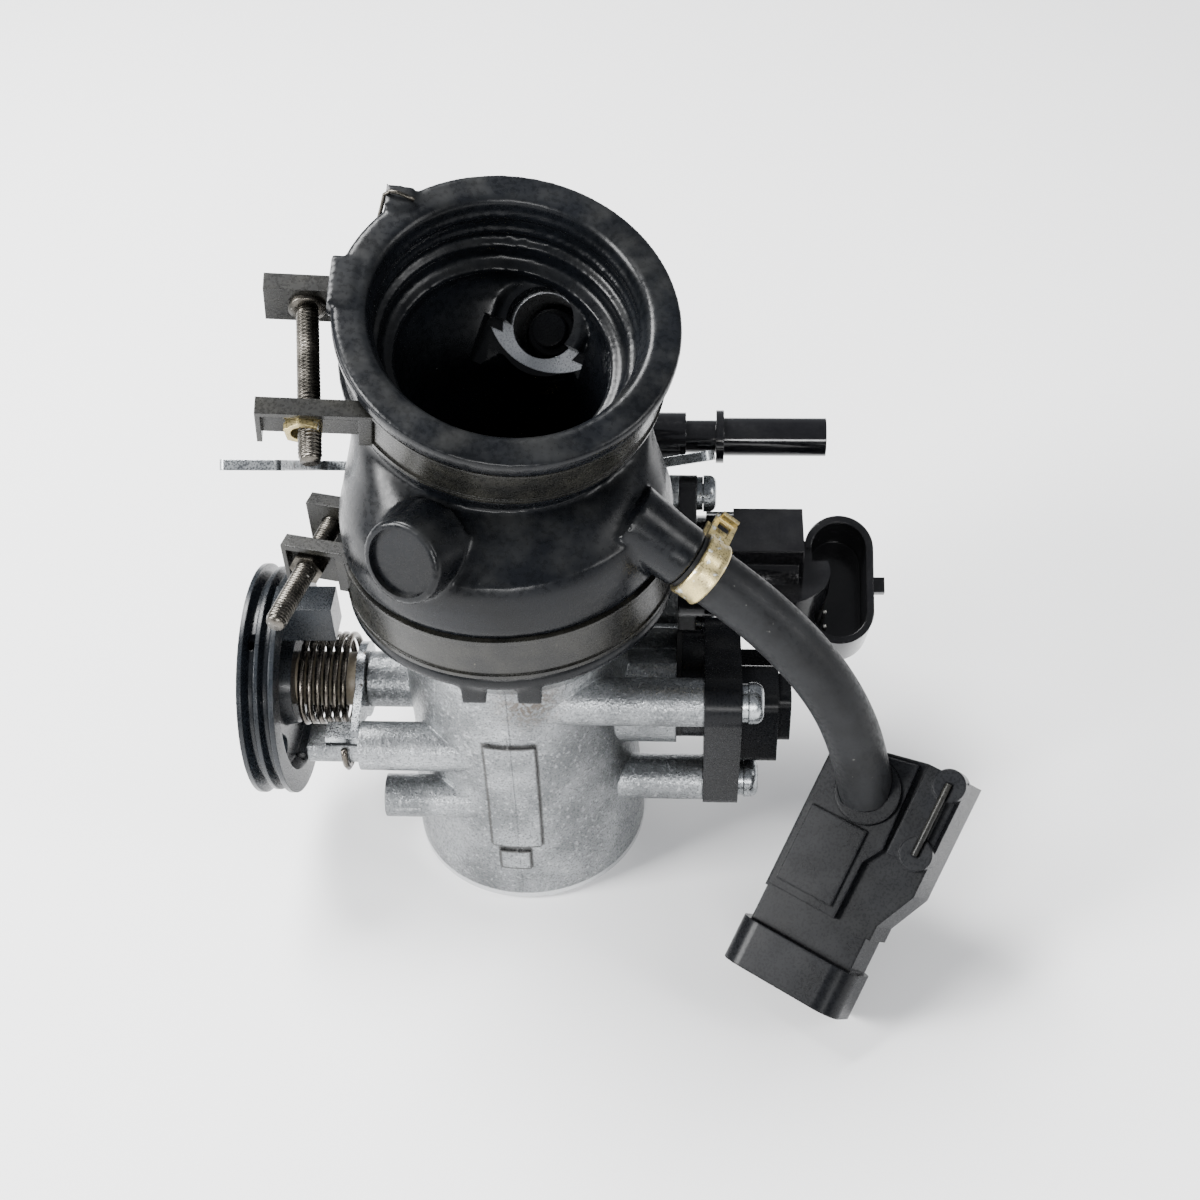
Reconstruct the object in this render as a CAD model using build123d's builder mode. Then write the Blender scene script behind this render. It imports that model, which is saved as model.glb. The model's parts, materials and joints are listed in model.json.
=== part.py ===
from build123d import *
import os
from math import pi, radians, tan

os.makedirs("parts", exist_ok=True)

# Throttle body of a small fuel-injected engine, standing on its air inlet spigot.
# Millimetres. Origin: centre of the spigot's end face. +Z up the bore, +X along the
# throttle shaft towards the position sensor, -Y to the front.

# ---- driving dimensions ----
SPIGOT_R = 24.0          # outside of the air inlet spigot
WAIST_R = 22.3           # outside of the casting round the throttle
BORE_R = 19.0            # 38 mm throttle bore
NECK_R = 26.0            # upper neck that the rubber joint grips
NECK_BOTTOM = 66.0
NECK_TOP = 84.0
SHAFT_Z = 40.4           # height of the throttle shaft
SHAFT_R = 3.0
BUSH_R = 4.3
RUN_GAP = 0.04           # radial running clearance
PLATE_T = 1.5
DRUM_R = 23.1
DRUM_GROOVE_R = 20.6
DRUM_OUT, DRUM_IN = -52.0, -44.9
SPRING_R = 8.9           # mean coil radius
WIRE_R = 0.65
SPRING_PITCH = 1.9
SPRING_TURNS = 5.6
STOP_Y, STOP_Z = -14.0, 36.6
LIP = Vector(3.0, 2.0, 126.7)            # centre of the joint's upper lip
LIP_AXIS = Vector(0.164, -0.346, 0.924)
LIP_R = 29.4
MOUTH_R = 23.0
DUCT_R = 18.8
BAND_T = 0.9
LOWER_BAND = (72.8, 81.9)                # heights of the lower clamp band
UPPER_BAND = (-13.5, -4.6)               # upper band, measured along the lip axis
TIP = Vector(6.6, 24.0, 109.1)           # injector nozzle
INJECTOR_AXIS = Vector(0.105, 0.70, -0.70)
HOLDER_R = 9.4           # injector holder, seated in the rubber
HOLDER_NOSE_R = 8.0
NOZZLE_BORE_R = 6.0
STAY_POINT = Vector(0, 40, 63)           # on the cable stay's mid plane
STAY_NORMAL = Vector(0, 0.6312, 0.7757)
STAY_T = 2.0
PIPE_Y, PIPE_Z = 45.0, 67.3              # fuel pipe axis
PIPE_R = 3.945                           # 7.89 mm quick connector
VALVE_Y, VALVE_Z = 24.0, 50.0            # idle valve axis
HOSE_D = 10.5
PORT = Vector(67.35, -24.7, 37.5)         # hose socket on the pressure sensor
SENSOR_UP = Vector(0.431, 0.645, 0.631)  # sensor's long axis
SENSOR_FACE = Vector(-0.357, -0.520, 0.776)

TPS_SCREWS = [(-16.6, 52.5), (-8.0, 21.2)]
VALVE_SCREWS = [(30.0, 64.5), (20.6, 36.4)]
STAY_SCREWS = [-16.0, 16.0]
STAY_SCREW_V = -8.5


# ---- shared helpers ----
def x_plane(x):
    """Plane across the shaft at x: local x is +Y, local y is +Z."""
    return Plane(origin=(x, 0, 0), x_dir=(0, 1, 0), z_dir=(1, 0, 0))


def rod_x(y, z, radius, x_from, x_to, mode=Mode.ADD):
    """Round bar along X between two stations."""
    with Locations(((x_from + x_to) / 2, y, z)):
        Cylinder(radius, abs(x_to - x_from), rotation=(0, 90, 0), mode=mode)


def rod_on(plane, radius, low, high, mode=Mode.ADD):
    """Round bar on a plane's normal, between two offsets."""
    with Locations(plane.offset(low)):
        Cylinder(radius, high - low, align=(Align.CENTER, Align.CENTER, Align.MIN), mode=mode)


def box_on(plane, x, y, z, mode=Mode.ADD):
    """Block in a plane's own axes; x, y and z are (low, high) pairs."""
    corner = plane.from_local_coords((x[0], y[0], z[0]))
    with Locations(Plane(origin=corner, x_dir=plane.x_dir, z_dir=plane.z_dir)):
        Box(x[1] - x[0], y[1] - y[0], z[1] - z[0],
            align=(Align.MIN, Align.MIN, Align.MIN), mode=mode)


def hex_on(plane, radius, low, high, mode=Mode.ADD):
    """Hexagonal prism on a plane's normal, radius across the corners."""
    with BuildSketch(plane.offset(low)) as hexagon:
        RegularPolygon(radius, 6)
    extrude(hexagon.sketch, amount=high - low, mode=mode)


def spun(plane, degrees):
    """The same plane with its x axis turned about its own normal."""
    return Plane(origin=plane.origin, x_dir=plane.x_dir.rotate(Axis(plane.origin, plane.z_dir), degrees),
                 z_dir=plane.z_dir)


def save(builder, name):
    builder.part.label = name
    export_step(builder.part, f"parts/{name}.step")


shaft_plane = Plane(origin=(0, 0, SHAFT_Z), x_dir=(0, 1, 0), z_dir=(1, 0, 0))
lip_plane = Plane(origin=LIP, x_dir=(1, 0, -LIP_AXIS.X / LIP_AXIS.Z), z_dir=LIP_AXIS)
injector_plane = Plane(origin=TIP, x_dir=(1, 0, 0.15), z_dir=INJECTOR_AXIS)
stay_plane = Plane(origin=STAY_POINT, x_dir=(1, 0, 0), z_dir=STAY_NORMAL)
sensor_plane = Plane(origin=PORT, x_dir=SENSOR_UP.cross(SENSOR_FACE), z_dir=SENSOR_FACE)

# ---- throttle housing: one aluminium casting ----
LEFT_BOSS_END = -30.4
RIGHT_BOSS_END = 31.0
PILOT_R = 11.8
PAD_RISE = 0.7
with BuildPart() as data_pad:
    # raised pad and tab that follow the tube on its front
    with BuildSketch(Plane.XZ.offset(20)) as pad:
        with Locations((-0.5, 31.3)):
            RectangleRounded(10.2, 28.3, 0.6)
        with Locations((-1.0, 13.4)):
            Rectangle(6.2, 5.0)
    extrude(pad.sketch, amount=6)
    with BuildSketch(Plane.XZ) as pad_envelope:
        with BuildLine():
            Polyline((0, 5), (SPIGOT_R + PAD_RISE, 5), (SPIGOT_R + PAD_RISE, 8), (WAIST_R + PAD_RISE, 30),
                     (WAIST_R + PAD_RISE, 60), (0, 60), close=True)
        make_face()
    revolve(pad_envelope.sketch, axis=Axis.Z, mode=Mode.INTERSECT)

with BuildPart() as throttle_housing:
    with BuildSketch(Plane.XZ) as tube_section:
        with BuildLine():
            Polyline((0, 0), (SPIGOT_R - 1, 0), (SPIGOT_R, 1), (SPIGOT_R, 8), (WAIST_R, 30),
                     (WAIST_R, 60), (NECK_R, NECK_BOTTOM), (NECK_R, NECK_TOP), (0, NECK_TOP), close=True)
        make_face()
    revolve(axis=Axis.Z)
    # shaft boss, stop boss and lower boss on the drum side
    rod_x(0, SHAFT_Z, 5.6, LEFT_BOSS_END, -20)
    rod_x(STOP_Y - 1.7, STOP_Z + 1.3, 4.8, LEFT_BOSS_END, -8)
    rod_x(STOP_Y, STOP_Z, 3.7, -41.0, -30)
    rod_x(-17, 24.6, 4.3, -26.6, -6)
    # pilot boss and screw bosses on the sensor side
    rod_x(0, SHAFT_Z, PILOT_R, 17.5, RIGHT_BOSS_END)
    for y, z in TPS_SCREWS:
        rod_x(y, z, 4.6, 2, 36.4)
    box_on(Plane.XY, (20, 33), (-5, 5), (45, 54), mode=Mode.SUBTRACT)
    # idle valve block and its two screw bosses
    box_on(Plane.XY, (6, RIGHT_BOSS_END), (10, 34), (33, 60))
    for y, z in VALVE_SCREWS:
        rod_x(y, z, 3.7, 4, RIGHT_BOSS_END)
    box_on(Plane.XY, (4, 20), (14, 31), (56, 64))
    # posts and web for the cable stay
    for x in STAY_SCREWS:
        post = stay_plane.shift_origin(stay_plane.from_local_coords((x, STAY_SCREW_V, 0)))
        rod_on(post, 4.2, -31, -STAY_T / 2)
    box_on(stay_plane, (-16, 16), (STAY_SCREW_V - 2, STAY_SCREW_V + 2), (-30, -14))
    add(data_pad.part)
    # flat on the stop boss where the lever rests
    box_on(Plane.XY, (-41.2, LEFT_BOSS_END), (STOP_Y - 5, STOP_Y + 5), (STOP_Z + 2.3, STOP_Z + 5),
           mode=Mode.SUBTRACT)
    # through bore, with a counterbore at the inlet
    with BuildSketch(Plane.XZ) as bore_section:
        with BuildLine():
            Polyline((0, -1), (21.5, -1), (21.5, 4), (BORE_R, 14), (BORE_R, NECK_TOP + 1),
                     (0, NECK_TOP + 1), close=True)
        make_face()
    revolve(axis=Axis.Z, mode=Mode.SUBTRACT)
    # shaft bore and bush seats
    rod_x(0, SHAFT_Z, SHAFT_R + 0.1, -32, 32, mode=Mode.SUBTRACT)
    rod_x(0, SHAFT_Z, BUSH_R, -32, -20.5, mode=Mode.SUBTRACT)
    rod_x(0, SHAFT_Z, BUSH_R, 20.5, 32, mode=Mode.SUBTRACT)
    # tapped holes
    for y, z in TPS_SCREWS:
        rod_x(y, z, 2.0, 26, 37, mode=Mode.SUBTRACT)
    for y, z in VALVE_SCREWS:
        rod_x(y, z, 2.0, 21, 32, mode=Mode.SUBTRACT)
    for x in STAY_SCREWS:
        post = stay_plane.shift_origin(stay_plane.from_local_coords((x, STAY_SCREW_V, 0)))
        rod_on(post, 2.0, -12, 0, mode=Mode.SUBTRACT)
    # air bypass: valve chamber, seat and the two ports to the bore
    rod_x(VALVE_Y, VALVE_Z, 7.0, 19, 32, mode=Mode.SUBTRACT)
    rod_x(VALVE_Y, VALVE_Z, 2.4, 10, 20, mode=Mode.SUBTRACT)
    with Locations((12, 18, VALVE_Z)):
        Cylinder(2.2, 14, rotation=(90, 0, 0), mode=Mode.SUBTRACT)
    port_low = Plane(origin=(22, 22, 47), z_dir=(-11, -11, -17))
    rod_on(port_low, 2.2, -1, 24, mode=Mode.SUBTRACT)
save(throttle_housing, "throttle_housing")

# ---- shaft bushes and seals ----
SEAL_T = 2.4
for side, start, sign in (("left", LEFT_BOSS_END, 1), ("right", RIGHT_BOSS_END, -1)):
    inner = start + sign * SEAL_T
    with BuildPart() as seal:
        rod_x(0, SHAFT_Z, BUSH_R, start, inner)
        rod_x(0, SHAFT_Z, SHAFT_R + RUN_GAP, start - sign, inner + sign, mode=Mode.SUBTRACT)
        rod_x(0, SHAFT_Z, SHAFT_R + 0.7, start - sign, start + sign * 1.2, mode=Mode.SUBTRACT)
    save(seal, f"{side}_shaft_seal")
    with BuildPart() as bush:
        rod_x(0, SHAFT_Z, BUSH_R, inner, sign * -20.5)
        rod_x(0, SHAFT_Z, SHAFT_R + RUN_GAP, inner - sign, sign * -20.0, mode=Mode.SUBTRACT)
    save(bush, f"{side}_shaft_bush")

# ---- throttle shaft, plate and screws ----
PLATE_R = BORE_R - 0.05
PLATE_SCREWS = [-8.5, 8.5]
FLAT = 2.2
with BuildPart() as throttle_shaft:
    rod_x(0, SHAFT_Z, SHAFT_R, -50.6, 37.5)
    box_on(Plane.XY, (-BORE_R - 0.1, BORE_R + 0.1), (-4, 4),
           (SHAFT_Z - PLATE_T / 2, SHAFT_Z + PLATE_T / 2), mode=Mode.SUBTRACT)
    for x in PLATE_SCREWS:
        box_on(Plane.XY, (x - 3, x + 3), (-4, 4), (SHAFT_Z + FLAT, SHAFT_Z + 4), mode=Mode.SUBTRACT)
        rod_on(Plane(origin=(x, 0, SHAFT_Z)), 1.25, -4, 4, mode=Mode.SUBTRACT)
    # flats that drive the sensor rotor
    for sign in (-1, 1):
        box_on(Plane.XY, (33.5, 38), (-4, 4), sorted((SHAFT_Z + sign * 1.8, SHAFT_Z + sign * 4)),
               mode=Mode.SUBTRACT)
save(throttle_shaft, "throttle_shaft")

with BuildPart() as throttle_plate:
    rod_on(Plane(origin=(0, 0, SHAFT_Z)), PLATE_R, -PLATE_T / 2, PLATE_T / 2)
    rim = throttle_plate.edges().filter_by(GeomType.CIRCLE)
    chamfer(rim, 0.25)
    for x in PLATE_SCREWS:
        rod_on(Plane(origin=(x, 0, SHAFT_Z)), 1.25, -2, 2, mode=Mode.SUBTRACT)
save(throttle_plate, "throttle_plate")

with BuildPart() as plate_screws:
    for x in PLATE_SCREWS:
        foot = Plane(origin=(x, 0, SHAFT_Z))
        rod_on(foot, 1.25, -SHAFT_R + 0.2, FLAT)
        rod_on(foot, 2.6, FLAT, FLAT + 1.4)
        box_on(foot, (-2.7, 2.7), (-0.35, 0.35), (FLAT + 0.8, FLAT + 1.5), mode=Mode.SUBTRACT)
save(plate_screws, "plate_screws")

# ---- cable drum, its fixings and the return spring ----
with BuildPart() as cable_drum:
    with BuildSketch(Plane.XY) as drum_section:
        # half section: local x along the shaft, local y is the radius
        with BuildLine():
            Polyline((DRUM_OUT, 0), (DRUM_OUT, DRUM_R), (DRUM_OUT + 0.9, DRUM_R),
                     (DRUM_OUT + 1.7, DRUM_GROOVE_R), (DRUM_OUT + 2.5, DRUM_GROOVE_R),
                     (DRUM_OUT + 3.1, DRUM_R - 0.6), (DRUM_OUT + 3.9, DRUM_R - 0.6),
                     (DRUM_OUT + 4.5, DRUM_GROOVE_R), (DRUM_OUT + 5.3, DRUM_GROOVE_R),
                     (DRUM_OUT + 6.1, DRUM_R), (DRUM_IN, DRUM_R), (DRUM_IN, 18.5),
                     (DRUM_IN - 2.6, 17.5), (DRUM_IN - 2.6, 9.6), (DRUM_IN, 9.0), (DRUM_IN, 0),
                     close=True)
        make_face()
    revolve(axis=Axis.X)
    # recess for the nut, cored-out web
    rod_x(0, 0, 10, DRUM_OUT - 1, DRUM_OUT + 4.4, mode=Mode.SUBTRACT)
    rod_x(0, 0, SHAFT_R, DRUM_OUT, DRUM_IN + 1, mode=Mode.SUBTRACT)
    with BuildSketch(x_plane(DRUM_OUT - 1)) as windows:
        with PolarLocations(14, 3, start_angle=210):
            SlotOverall(8, 4.4, rotation=90)
    extrude(windows.sketch, amount=9, mode=Mode.SUBTRACT)
    # nipple pockets in the rim, one for each cable
    for angle, x in ((115, DRUM_OUT + 2.1), (250, DRUM_OUT + 4.9)):
        with Locations(Rot(X=angle) * Pos(x, DRUM_GROOVE_R - 1.2, 0)):
            Cylinder(1.9, 3.0, rotation=(0, 90, 0), mode=Mode.SUBTRACT)
    # stop lug over the spring
    box_on(Plane.XY, (DRUM_IN - 2, -35.2), (-3.4, 3.4), (14.0, 22.2))
drum_moved = cable_drum.part.moved(Location((0, 0, SHAFT_Z)))
with BuildPart() as cable_drum_placed:
    add(drum_moved)
save(cable_drum_placed, "cable_drum")

NUT_FACE = DRUM_OUT + 4.4
with BuildPart() as drum_washer:
    rod_x(0, SHAFT_Z, 6.4, NUT_FACE - 0.8, NUT_FACE)
    rod_x(0, SHAFT_Z, SHAFT_R, NUT_FACE - 2, NUT_FACE + 1, mode=Mode.SUBTRACT)
save(drum_washer, "drum_washer")

with BuildPart() as drum_nut:
    hex_on(shaft_plane, 5.4, NUT_FACE - 3.4, NUT_FACE - 0.8)
    rod_x(0, SHAFT_Z, SHAFT_R, NUT_FACE - 5, NUT_FACE + 1, mode=Mode.SUBTRACT)
save(drum_nut, "drum_nut")

LEVER_X = (-32.3, -30.7)
with BuildPart() as spring_sleeve:
    rod_x(0, SHAFT_Z, 5.4, DRUM_IN, LEVER_X[0])
    rod_x(0, SHAFT_Z, SHAFT_R, DRUM_IN - 1, LEVER_X[1], mode=Mode.SUBTRACT)
save(spring_sleeve, "spring_sleeve")

# plated lever that closes the throttle against the stop boss
with BuildPart() as stop_lever:
    with BuildSketch(x_plane(LEVER_X[0])) as lever_outline:
        with Locations((0, SHAFT_Z)):
            Circle(7.6)
        with BuildLine():
            Polyline((-5, SHAFT_Z + 5), (-15.6, STOP_Z + 5.2), (-16.6, STOP_Z + 2.6),
                     (-11.0, STOP_Z + 2.6), (-3, SHAFT_Z - 6), close=True)
        make_face()
    extrude(lever_outline.sketch, amount=LEVER_X[1] - LEVER_X[0])
    box_on(Plane.XY, (-37.4, LEVER_X[1]), (-16.4, -12.0), (STOP_Z + 2.6, STOP_Z + 4.0))
    rod_x(0, SHAFT_Z, SHAFT_R, LEVER_X[0] - 1, LEVER_X[1] + 1, mode=Mode.SUBTRACT)
save(stop_lever, "stop_lever")

SPRING_START = -44.0
with BuildPart() as return_spring:
    with BuildLine() as spring_path:
        coil = Helix(SPRING_PITCH, SPRING_PITCH * SPRING_TURNS, SPRING_R,
                     center=(SPRING_START, 0, SHAFT_Z), direction=(1, 0, 0))
    with BuildSketch(coil ^ 0) as wire:
        Circle(WIRE_R)
    sweep(wire.sketch, path=spring_path.line, is_frenet=True)
save(return_spring, "return_spring")

# ---- throttle position sensor ----
TPS_FACE = 36.4
TPS_PINS = (21.9, 24.5, 27.1)
with BuildPart() as tps_housing:
    with BuildSketch(x_plane(TPS_FACE)) as tps_flange:
        for y, z in TPS_SCREWS:
            with Locations((y, z)):
                Circle(5.2)
        with Locations((1, 37.5)):
            Circle(14.5)
        make_hull()
    extrude(tps_flange.sketch, amount=7.0)
    rod_x(0, SHAFT_Z, PILOT_R - 1.2, RIGHT_BOSS_END + 1, TPS_FACE)
    rod_x(0, SHAFT_Z, 7.4, RIGHT_BOSS_END, RIGHT_BOSS_END + 1)
    with BuildSketch(x_plane(43.0)) as tps_cover:
        with Locations((-3, 35)):
            RectangleRounded(12, 18, 2.5)
    extrude(tps_cover.sketch, amount=8.0)
    with BuildSketch(x_plane(51.0)) as tps_cap:
        with Locations((-1.5, 35.5)):
            RectangleRounded(9, 13, 2.5)
    extrude(tps_cap.sketch, amount=2.6)
    # connector socket to the rear
    box_on(Plane.XY, (38.0, 51.0), (2, 19), (18, 31))
    box_on(Plane.XY, (39.4, 49.6), (5, 20), (19.4, 29.6), mode=Mode.SUBTRACT)
    # rotor chamber, screw holes and slots for the terminals
    rod_x(0, SHAFT_Z, 6.4, RIGHT_BOSS_END + 1.5, 42, mode=Mode.SUBTRACT)
    rod_x(0, SHAFT_Z, SHAFT_R + 0.1, RIGHT_BOSS_END - 1, 34, mode=Mode.SUBTRACT)
    for y, z in TPS_SCREWS:
        rod_x(y, z, 2.1, TPS_FACE - 1, 44, mode=Mode.SUBTRACT)
    for z in TPS_PINS:
        box_on(Plane.XY, (44.0, 45.2), (0, 6), (z - 0.35, z + 0.35), mode=Mode.SUBTRACT)
save(tps_housing, "tps_housing")

with BuildPart() as tps_seal:
    rod_x(0, SHAFT_Z, PILOT_R - 1.2, RIGHT_BOSS_END, RIGHT_BOSS_END + 1)
    rod_x(0, SHAFT_Z, 7.4, RIGHT_BOSS_END - 1, RIGHT_BOSS_END + 2, mode=Mode.SUBTRACT)
save(tps_seal, "tps_seal")

with BuildPart() as tps_rotor:
    rod_x(0, SHAFT_Z, 5.6, 34.2, 40)
    with BuildSketch(x_plane(33.5)) as rotor_slot:
        with Locations((0, SHAFT_Z)):
            Circle(SHAFT_R)
            Rectangle(8, 3.6, mode=Mode.INTERSECT)
    extrude(rotor_slot.sketch, amount=4.0, mode=Mode.SUBTRACT)
    box_on(Plane.XY, (40, 41.2), (1.5, 5), (SHAFT_Z - 1, SHAFT_Z + 1))
save(tps_rotor, "tps_rotor")

with BuildPart() as tps_terminals:
    for z in TPS_PINS:
        box_on(Plane.XY, (44.0, 45.2), (0, 14), (z - 0.35, z + 0.35))
save(tps_terminals, "tps_terminals")


def pan_screw(plane, length, radius=2.0, head_r=3.9, head_t=2.8, washer_t=1.3):
    """Cross-recessed pan head screw and spring washer; the plane is the clamped face."""
    head_low = washer_t
    with BuildPart() as screw:
        rod_on(plane, head_r, head_low, head_low + head_t)
        crown = screw.faces().sort_by(Axis(plane.origin, plane.z_dir))[-1]
        fillet(crown.edges(), head_t * 0.6)
        rod_on(plane, radius, -length, head_low)
        if washer_t:
            rod_on(plane, head_r - 0.3, 0, washer_t - 0.1)
        for angle in (0, 90):
            turned = spun(plane, angle)
            box_on(turned, (-2.0, 2.0), (-0.4, 0.4), (head_low + head_t - 1.5, head_low + head_t + 1),
                   mode=Mode.SUBTRACT)
    return screw.part


def screw_plane(x, y, z):
    return Plane(origin=(x, y, z), x_dir=(0, 1, 0), z_dir=(1, 0, 0))


def save_group(parts, name):
    """Separate identical pieces kept together in one node."""
    with BuildPart() as group:
        for piece in parts:
            add(piece)
    save(group, name)


save_group([pan_screw(screw_plane(TPS_FACE + 7.0, y, z), 16) for y, z in TPS_SCREWS], "tps_screws")

# ---- idle valve: stepper motor, valve and connector ----
VALVE_EAR_T = 3.6
SOCKET_OUT = Vector(0, -0.52, 0.854)
SOCKET_MOUTH = Vector(63.6, 20.0, 50.5)
socket_plane = Plane(origin=SOCKET_MOUTH, x_dir=(1, 0, 0), z_dir=SOCKET_OUT)
SOCKET_D = 15.0
SOCKET_SIZE = (14.0, 27.0)
WALL = 1.5
VALVE_PINS = (-8.6, -5.6, -2.6, 0.4)
with BuildPart() as idle_valve_housing:
    with BuildSketch(x_plane(RIGHT_BOSS_END)) as valve_flange:
        for y, z in VALVE_SCREWS:
            with Locations((y, z)):
                Circle(3.7)
        with Locations((VALVE_Y, VALVE_Z)):
            Circle(9.5)
        make_hull()
    extrude(valve_flange.sketch, amount=VALVE_EAR_T)
    rod_x(VALVE_Y, VALVE_Z, 10.5, RIGHT_BOSS_END, 55)
    box_on(Plane.XY, (36.5, 56.0), (16.5, 34.0), (44, 54))
    box_on(Plane.XY, (36.5, 56.0), (16.5, 29.5), (44, 61))
    with Locations((51.6, 19, 48)):
        Cylinder(10, 12)
    with BuildSketch(socket_plane.offset(-SOCKET_D)) as shroud:
        SlotOverall(SOCKET_SIZE[1], SOCKET_SIZE[0], rotation=90)
    extrude(shroud.sketch, amount=SOCKET_D)
    with BuildSketch(socket_plane.offset(-SOCKET_D + 2)) as shroud_inside:
        SlotOverall(SOCKET_SIZE[1] - 2 * WALL, SOCKET_SIZE[0] - 2 * WALL, rotation=90)
    extrude(shroud_inside.sketch, amount=SOCKET_D, mode=Mode.SUBTRACT)
    box_on(socket_plane, (6.4, 9.6), (-1.6, 1.6), (-6, -4))
    # spigot into the casting, motor chamber, screw and terminal holes
    rod_x(VALVE_Y, VALVE_Z, 6.9, 27, RIGHT_BOSS_END)
    rod_x(VALVE_Y, VALVE_Z, 5.2, 26, 28, mode=Mode.SUBTRACT)
    rod_x(VALVE_Y, VALVE_Z, 3.2, 26, 36, mode=Mode.SUBTRACT)
    rod_x(VALVE_Y, VALVE_Z, 8.6, 36, 51, mode=Mode.SUBTRACT)
    rod_x(VALVE_Y, VALVE_Z, 1.56, 50, 53.2, mode=Mode.SUBTRACT)
    for y, z in VALVE_SCREWS:
        rod_x(y, z, 2.1, RIGHT_BOSS_END - 1, 36, mode=Mode.SUBTRACT)
        rod_x(y, z, 4.4, RIGHT_BOSS_END + VALVE_EAR_T, 42, mode=Mode.SUBTRACT)
    for v in VALVE_PINS:
        box_on(socket_plane, (-2.9, -2.3), (v - 0.3, v + 0.3), (-SOCKET_D - 1, -SOCKET_D + 3), mode=Mode.SUBTRACT)
save(idle_valve_housing, "idle_valve_housing")

with BuildPart() as idle_valve_terminals:
    for v in VALVE_PINS:
        box_on(socket_plane, (-2.9, -2.3), (v - 0.3, v + 0.3), (-SOCKET_D - 1, -5))
save(idle_valve_terminals, "idle_valve_terminals")

with BuildPart() as idle_valve_coil:
    rod_x(VALVE_Y, VALVE_Z, 8.6, 38, 49)
    rod_x(VALVE_Y, VALVE_Z, 6.3, 37, 50, mode=Mode.SUBTRACT)
save(idle_valve_coil, "idle_valve_coil")

with BuildPart() as idle_valve_seal:
    rod_x(VALVE_Y, VALVE_Z, 7.0, 25.4, 27)
    rod_x(VALVE_Y, VALVE_Z, 5.2, 25, 28, mode=Mode.SUBTRACT)
save(idle_valve_seal, "idle_valve_seal")

with BuildPart() as idle_valve_rotor:
    rod_x(VALVE_Y, VALVE_Z, 6.0, 38, 49)
    rod_x(VALVE_Y, VALVE_Z, 1.5, 49, 53)
    rod_x(VALVE_Y, VALVE_Z, 1.56, 37, 48, mode=Mode.SUBTRACT)
save(idle_valve_rotor, "idle_valve_rotor")

with BuildPart() as idle_valve_pintle:
    with BuildSketch(Plane.XY) as pintle_section:
        with BuildLine():
            Polyline((21.2, 0), (21.2, 0.8), (24.0, 3.6), (25.2, 3.6), (25.2, 3.1), (35.0, 3.1),
                     (35.0, 1.5), (44.0, 1.5), (44.0, 0), close=True)
        make_face()
    revolve(axis=Axis.X)
pintle = idle_valve_pintle.part.moved(Location((0, VALVE_Y, VALVE_Z)))
save_group([pintle], "idle_valve_pintle")

EAR_FACE = RIGHT_BOSS_END + VALVE_EAR_T
save_group([pan_screw(screw_plane(EAR_FACE, y, z), 12, head_r=3.7, head_t=2.6) for y, z in VALVE_SCREWS],
           "idle_valve_screws")

# ---- rubber intake joint ----
ROOT_Z = 69.3
GROOVE_R = 29.6
mid_plane = Plane(origin=(0.1, 3.0, 101.5), x_dir=(1, 0, 0), z_dir=(0.08, -0.17, 0.98))
STUB_END = Vector(33.0, -14.0, 86.4)
HOSE_POINTS = [STUB_END, Vector(40.4, -15.9, 81.1), Vector(47.4, -17.6, 75.2), Vector(53.6, -19.0, 68.6),
               Vector(58.9, -20.4, 61.3), Vector(62.9, -21.6, 53.2), Vector(65.6, -22.6, 44.6),
               Vector(67.5, -23.2, 35.5)]
stub_plane = Plane(origin=STUB_END, z_dir=HOSE_POINTS[1] - STUB_END)
hose_end_plane = Plane(origin=HOSE_POINTS[-1], z_dir=HOSE_POINTS[-2] - HOSE_POINTS[-1])
lip_section_plane = Plane(origin=LIP, x_dir=lip_plane.x_dir, z_dir=lip_plane.x_dir.cross(LIP_AXIS))
recess_axis = Vector(-0.42, -0.86, 0.30)
recess_plane = Plane(origin=(-12.0, -22.5, 95.5), z_dir=recess_axis)


def ring_at(plane, radius):
    with BuildSketch(plane) as ring:
        Circle(radius)
    return ring.sketch


# outside of the injector holder: seat, nose and the crescent shelf that stands in the duct
SHELF_T = 1.6
with BuildPart() as holder_outside:
    rod_on(injector_plane, HOLDER_R, 8.0, 19.0)
    rod_on(injector_plane, HOLDER_NOSE_R, 0, 8.0)
    with BuildSketch(injector_plane) as shelf:
        with Locations((3.1, -4.7)):
            Circle(13.7)
        with Locations(Location((-1.5, 3.6), 29)):
            Rectangle(40, 30, align=(Align.CENTER, Align.MIN), mode=Mode.INTERSECT)
    extrude(shelf.sketch, amount=SHELF_T)

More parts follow.
